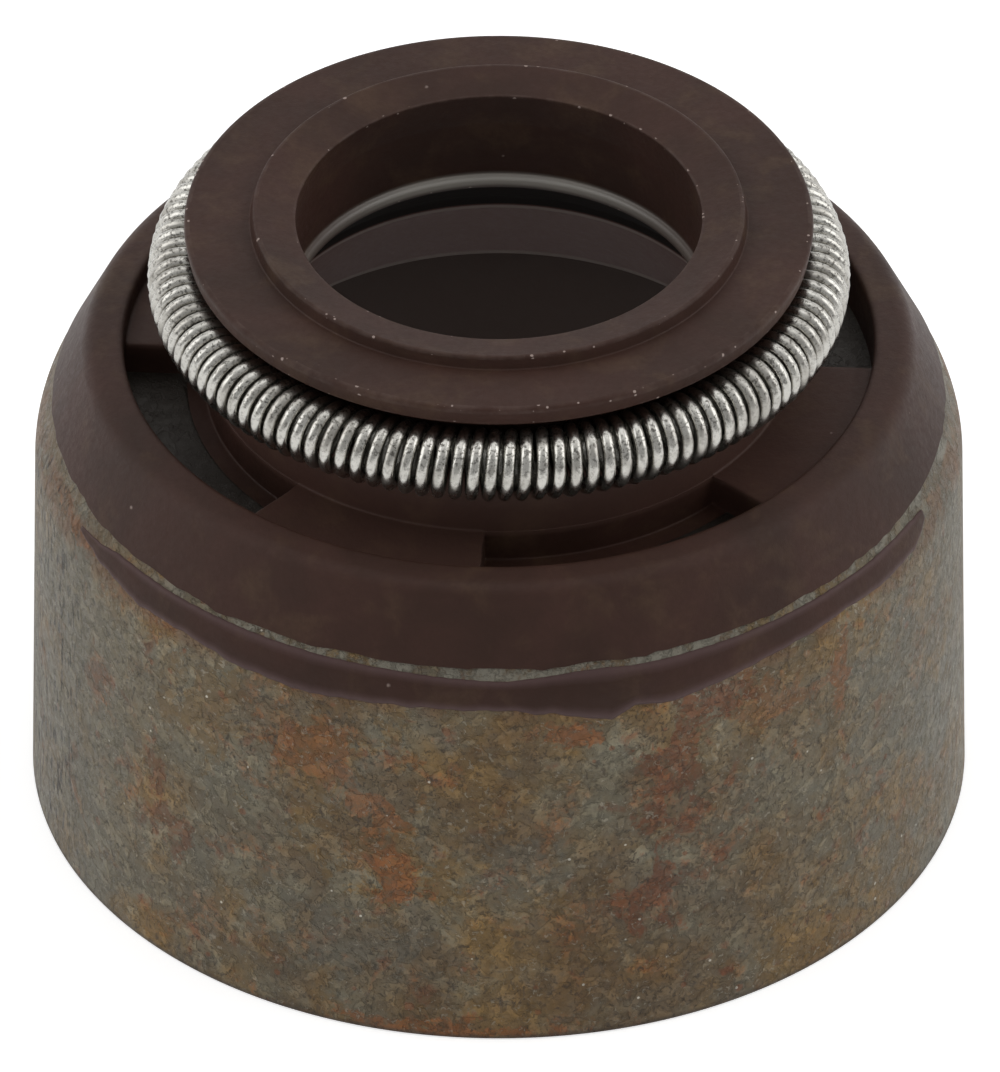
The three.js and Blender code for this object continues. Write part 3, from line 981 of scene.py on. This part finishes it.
class SEAL_OT_make_flash(bpy.types.Operator):
    """Make the thin ragged film of rubber on the case's corner"""

    bl_idname = "seal.make_flash"
    bl_label = "Make moulding flash"

    # Degrees clockwise from +X, and the heights in mm of the film's lower and upper edges there
    EDGES = (
        (21, 6.78, 6.92),
        (26, 6.57, 6.98),
        (34, 6.56, 7.0),
        (41, 6.62, 7.02),
        (55, 6.54, 7.03),
        (68, 6.32, 7.02),
        (73, 6.4, 7.02),
        (76, 6.2, 7.05),
        (81, 6.36, 7.04),
        (89, 6.51, 6.95),
        (104, 6.48, 7.02),
        (114, 6.4, 7.03),
        (125, 6.46, 7.04),
        (133, 6.58, 7.03),
        (141, 6.54, 7.02),
        (147, 6.63, 7.0),
        (151, 6.68, 6.9),
        (156, 6.76, 6.84),
    )

    def execute(self, context):
        flash = context.scene.seal_flash
        corner = Corner(context.scene.seal_case)
        rows = 12
        ragged = flash.raggedness / MM
        turns, lows, highs = (np.array(values) for values in zip(*self.EDGES))
        angles = np.linspace(flash.start, flash.end, 420)
        columns = []
        for a in angles:
            degrees = math.degrees(a)
            low = np.interp(degrees, turns, lows) + ragged * noise.noise((degrees * 0.45, 3.1, 0.0))
            low += 0.2 * ragged * noise.noise((degrees * 1.7, 8.2, 0.0))
            high = np.interp(degrees, turns, highs) + 0.3 * ragged * noise.noise((degrees * 0.8, 5.7, 0.0))
            thinning = min(1.0, 0.3 + (self.EDGES[-1][0] - degrees) / 12)
            top, under = [], []
            for t in np.linspace(0, 1, rows):
                height = (low + (high - low) * t) * MM
                radius, lean = corner.at(height)
                out, up = math.cos(lean), math.sin(lean)
                crown = math.sin(math.pi * min(0.5, 0.06 + 3.0 * min(t, 1 - t)))
                lump = 0.8 + 0.35 * noise.noise((degrees * 0.25, t * 2.0, 4.0))
                thick = flash.thickness * crown * lump * thinning
                top.append((radius + thick * out, height + thick * up))
                under.append((radius - flash.sunk * out, height - flash.sunk * up))
            columns.append(round_axis(np.array(top + under[::-1]), [a])[0])
        edge = np.zeros((len(angles), 2 * rows))
        edge[:, [0, 1, rows - 2, rows - 1]] = 1.0
        edge[:, [2, rows - 3]] = 0.4
        piece = grid_mesh("moulding_flash", np.array(columns), edge, wrap=False)
        fit(piece, "rubber_body", film_material(context.scene.seal_finish))
        return {"FINISHED"}


def coil_tree():
    """Geometry nodes for a coil bent into a closed ring."""
    tree = bpy.data.node_groups.new("garter_coil", "GeometryNodeTree")
    sockets = {}
    integer, real = "NodeSocketInt", "NodeSocketFloat"
    for label, kind in (
        ("Turns", integer),
        ("Steps", integer),
        ("Sides", integer),
        ("Seed", integer),
        ("Ring radius", real),
        ("Height", real),
        ("Coil radius", real),
        ("Wire radius", real),
        ("Wobble", real),
        ("Finish", "NodeSocketMaterial"),
    ):
        sockets[label] = tree.interface.new_socket(label, in_out="INPUT", socket_type=kind).identifier
    tree.interface.new_socket("Geometry", in_out="OUTPUT", socket_type="NodeSocketGeometry")
    given = node(tree, "NodeGroupInput").outputs
    count = times(tree, given["Turns"], given["Steps"])
    circle = "GeometryNodeCurvePrimitiveCircle"
    path = node(tree, circle, {"Resolution": count, "Radius": 1.0}).outputs["Curve"]
    index = node(tree, "GeometryNodeInputIndex").outputs[0]
    full = 2 * math.pi
    turn = calc(tree, "DIVIDE", index, given["Steps"])
    round_ring = times(tree, calc(tree, "DIVIDE", index, count), full)
    round_coil = times(tree, turn, full)
    drift = {"W": plus(tree, times(tree, turn, 0.9), given["Seed"]), "Scale": 1.0, "Detail": 1.0}
    stray = node(tree, "ShaderNodeTexNoise", drift, noise_dimensions="1D").outputs["Fac"]
    stray = times(tree, calc(tree, "SUBTRACT", stray, 0.5), given["Wobble"])
    middle = calc(tree, "SUBTRACT", given["Coil radius"], given["Wire radius"])
    # At the back the wire's two ends are screwed into each other, and a few turns are narrower there.
    behind = calc(tree, "SINE", round_ring)
    join = remap(tree, behind, 0.9925, 0.9975, 0.0, 0.07)
    middle = plus(tree, times(tree, middle, calc(tree, "SUBTRACT", 1.0, join)), stray)
    out = plus(tree, given["Ring radius"], times(tree, middle, calc(tree, "COSINE", round_coil)))
    up = plus(tree, given["Height"], times(tree, middle, calc(tree, "SINE", round_coil)))
    x = times(tree, out, calc(tree, "COSINE", round_ring))
    y = times(tree, out, calc(tree, "SINE", round_ring))
    position = node(tree, "ShaderNodeCombineXYZ", {0: x, 1: y, 2: up}).outputs[0]
    bent = node(tree, "GeometryNodeSetPosition", {"Geometry": path, "Position": position}).outputs[0]
    wire = {"Resolution": given["Sides"], "Radius": given["Wire radius"]}
    wire = node(tree, circle, wire).outputs["Curve"]
    tube = node(tree, "GeometryNodeCurveToMesh", {"Curve": bent, "Profile Curve": wire}).outputs[0]
    smooth = node(tree, "GeometryNodeSetShadeSmooth", {"Geometry": tube}).outputs[0]
    real_mesh = node(tree, "GeometryNodeRealizeInstances", {"Geometry": smooth}).outputs[0]
    finish = {"Geometry": real_mesh, "Material": given["Finish"]}
    finished = node(tree, "GeometryNodeSetMaterial", finish).outputs[0]
    feed(tree, node(tree, "NodeGroupOutput").inputs[0], finished)
    return tree, sockets


class SEAL_OT_make_spring(bpy.types.Operator):
    """Make the garter spring"""

    bl_idname = "seal.make_spring"
    bl_label = "Make garter spring"

    def execute(self, context):
        spring = context.scene.seal_spring
        material = wire_material(context.scene.seal_finish)
        tree, sockets = coil_tree()
        carrier = bpy.data.objects.new("garter_coil_maker", bpy.data.meshes.new("garter_coil_maker"))
        context.scene.collection.objects.link(carrier)
        modifier = carrier.modifiers.new("coil", "NODES")
        modifier.node_group = tree
        values = {
            "Turns": spring.turns,
            "Steps": spring.steps,
            "Sides": spring.sides,
            "Seed": 5,
            "Ring radius": spring.ring_radius,
            "Height": spring.height,
            "Coil radius": spring.coil_radius,
            "Wire radius": spring.wire / 2,
            "Wobble": spring.wobble,
            "Finish": material,
        }
        for label, value in values.items():
            modifier[sockets[label]] = value
        graph = context.evaluated_depsgraph_get()
        mesh = bpy.data.meshes.new_from_object(carrier.evaluated_get(graph))
        mesh.name = "coiled_spring"
        bpy.data.objects.remove(carrier)
        if not mesh.vertices:
            raise RuntimeError("the coil's nodes gave no mesh")
        piece = bpy.data.objects.new("coiled_spring", mesh)
        context.scene.collection.objects.link(piece)
        fit(piece, "garter_spring", material)
        return {"FINISHED"}


class SEAL_OT_make_stage(bpy.types.Operator):
    """Make the floor, the lamps, the surroundings and the camera"""

    bl_idname = "seal.make_stage"
    bl_label = "Make stage"

    # Name, place and width in metres, and the setting that holds the power
    LAMPS = (
        ("left_soft_box", (-0.44, 0.02, 0.26), 0.42, "left_power"),
        ("right_soft_box", (0.44, 0.02, 0.26), 0.42, "right_power"),
        ("top_soft_box", (0.0, 0.12, 0.5), 0.4, "top_power"),
    )

    def execute(self, context):
        stage = context.scene.seal_stage
        half = 1.5
        corners = [(-half, -half, 0), (half, -half, 0), (half, half, 0), (-half, half, 0)]
        mesh = bpy.data.meshes.new("floor")
        mesh.from_pydata(corners, [], [(0, 1, 2, 3)])
        floor = bpy.data.objects.new("floor", mesh)
        context.scene.collection.objects.link(floor)
        mesh.materials.append(floor_material())
        self.surroundings(context.scene)
        for name, place, size, setting in self.LAMPS:
            self.lamp(name, place, size, getattr(stage, setting))
        data = bpy.data.cameras.new("camera")
        data.lens = stage.lens
        data.sensor_width = 36
        data.clip_start, data.clip_end = 0.01, 10
        camera = bpy.data.objects.new("camera", data)
        context.scene.collection.objects.link(camera)
        target = Vector((stage.side, 0, stage.middle))
        back = Vector((0, -math.cos(stage.elevation), math.sin(stage.elevation)))
        camera.location = target + back * stage.distance
        camera.rotation_euler = (math.pi / 2 - stage.elevation, 0, 0)
        context.scene.camera = camera
        context.scene.view_settings.view_transform = "Standard"
        return {"FINISHED"}

    def lamp(self, name, place, size, power):
        data = bpy.data.lights.new(name, "AREA")
        data.shape = "SQUARE"
        data.size = size
        data.energy = power
        lamp = bpy.data.objects.new(name, data)
        lamp.location = place
        lamp.rotation_euler = (Vector((0, 0, 0.006)) - Vector(place)).to_track_quat("-Z", "Y").to_euler()
        bpy.context.scene.collection.objects.link(lamp)

    def surroundings(self, scene):
        world = bpy.data.worlds.new("white_room")
        world.use_nodes = True
        tree = world.node_tree
        tree.nodes.clear()
        path = node(tree, "ShaderNodeLightPath").outputs
        seen = highest(tree, path["Is Camera Ray"], path["Is Transmission Ray"])
        # The room is darker on the side that the photographer stands on.
        direction = node(tree, "ShaderNodeTexCoord").outputs["Generated"]
        towards = node(tree, "ShaderNodeSeparateXYZ", {0: direction}).outputs["Y"]
        bright = remap(tree, towards, -0.75, 0.1, 0.5, 1.0)
        fill = remap(tree, towards, -0.75, 0.1, 0.5, 0.36)
        lit = node(tree, "ShaderNodeBackground", {"Strength": fill}).outputs[0]
        mirrored = node(tree, "ShaderNodeBackground", {"Strength": bright}).outputs[0]
        shown = node(tree, "ShaderNodeBackground", {"Strength": 1.0}).outputs[0]
        for background in (lit, mirrored, shown):
            background.node.inputs["Color"].default_value = (1, 1, 1, 1)
        room = node(tree, "ShaderNodeMixShader", {0: path["Is Glossy Ray"], 1: lit, 2: mirrored}).outputs[0]
        both = node(tree, "ShaderNodeMixShader", {0: seen, 1: room, 2: shown}).outputs[0]
        feed(tree, node(tree, "ShaderNodeOutputWorld").inputs["Surface"], both)
        scene.world = world


def floor_material():
    """A white floor that keeps its shadow: a faint glow towards the camera lifts it to plain white."""
    material = bpy.data.materials.new("white_floor")
    material.use_nodes = True
    tree = material.node_tree
    tree.nodes.clear()
    path = node(tree, "ShaderNodeLightPath").outputs
    seen = highest(tree, path["Is Camera Ray"], path["Is Transmission Ray"], path["Is Glossy Ray"])
    matte = node(tree, "ShaderNodeBsdfDiffuse", {"Color": (0.9, 0.9, 0.9, 1)}).outputs[0]
    place = node(tree, "ShaderNodeTexCoord").outputs["Object"]
    far = node(tree, "ShaderNodeVectorMath", {0: place}, operation="LENGTH").outputs["Value"]
    # The glow is weaker under the part than round it: a painted shadow on the floor, seen through the bore and
    # in reflections.
    strength = remap(tree, far, 7.0 * MM, 7.6 * MM, 0.5, 0.62)
    glow = node(tree, "ShaderNodeEmission", {"Strength": times(tree, seen, strength)}).outputs[0]
    both = node(tree, "ShaderNodeAddShader", {0: matte, 1: glow}).outputs[0]
    clear = node(tree, "ShaderNodeBsdfTransparent").outputs[0]
    below = node(tree, "ShaderNodeNewGeometry").outputs["Backfacing"]
    sides = node(tree, "ShaderNodeMixShader", {0: below, 1: both, 2: clear}).outputs[0]
    feed(tree, node(tree, "ShaderNodeOutputMaterial").inputs["Surface"], sides)
    return material


class SEAL_PT_panel(bpy.types.Panel):
    """Stem seal: its pieces and their settings"""

    bl_idname = "SEAL_PT_panel"
    bl_label = "Stem seal"
    bl_space_type = "VIEW_3D"
    bl_region_type = "UI"
    bl_category = "Stem seal"

    def draw(self, context):
        for label, (group, operators) in SECTIONS.items():
            box = self.layout.box()
            box.label(text=label)
            settings = getattr(context.scene, group)
            for name in settings.__annotations__:
                box.prop(settings, name)
            for operator in operators:
                box.operator(operator)


SETTINGS = {
    "seal_case": SEAL_PG_case,
    "seal_rubber": SEAL_PG_rubber,
    "seal_flash": SEAL_PG_flash,
    "seal_spring": SEAL_PG_spring,
    "seal_finish": SEAL_PG_finish,
    "seal_stage": SEAL_PG_stage,
}
SECTIONS = {
    "Case": ("seal_case", ["seal.make_case"]),
    "Rubber body": ("seal_rubber", ["seal.make_rubber"]),
    "Moulding flash": ("seal_flash", ["seal.make_flash"]),
    "Garter spring": ("seal_spring", ["seal.make_spring"]),
    "Finishes": ("seal_finish", []),
    "Stage": ("seal_stage", ["seal.make_stage"]),
}
CLASSES = (
    *SETTINGS.values(),
    SEAL_OT_make_case,
    SEAL_OT_make_rubber,
    SEAL_OT_make_flash,
    SEAL_OT_make_spring,
    SEAL_OT_make_stage,
    SEAL_PT_panel,
)


def register():
    for made in CLASSES:
        bpy.utils.register_class(made)
    for name, group in SETTINGS.items():
        setattr(bpy.types.Scene, name, PointerProperty(type=group))


def unregister():
    for name in SETTINGS:
        delattr(bpy.types.Scene, name)
    for made in reversed(CLASSES):
        bpy.utils.unregister_class(made)


def main():
    register()
    bpy.ops.seal.make_case()
    bpy.ops.seal.make_rubber()
    bpy.ops.seal.make_flash()
    bpy.ops.seal.make_spring()
    bpy.ops.seal.make_stage()


if __name__ == "__main__":
    main()
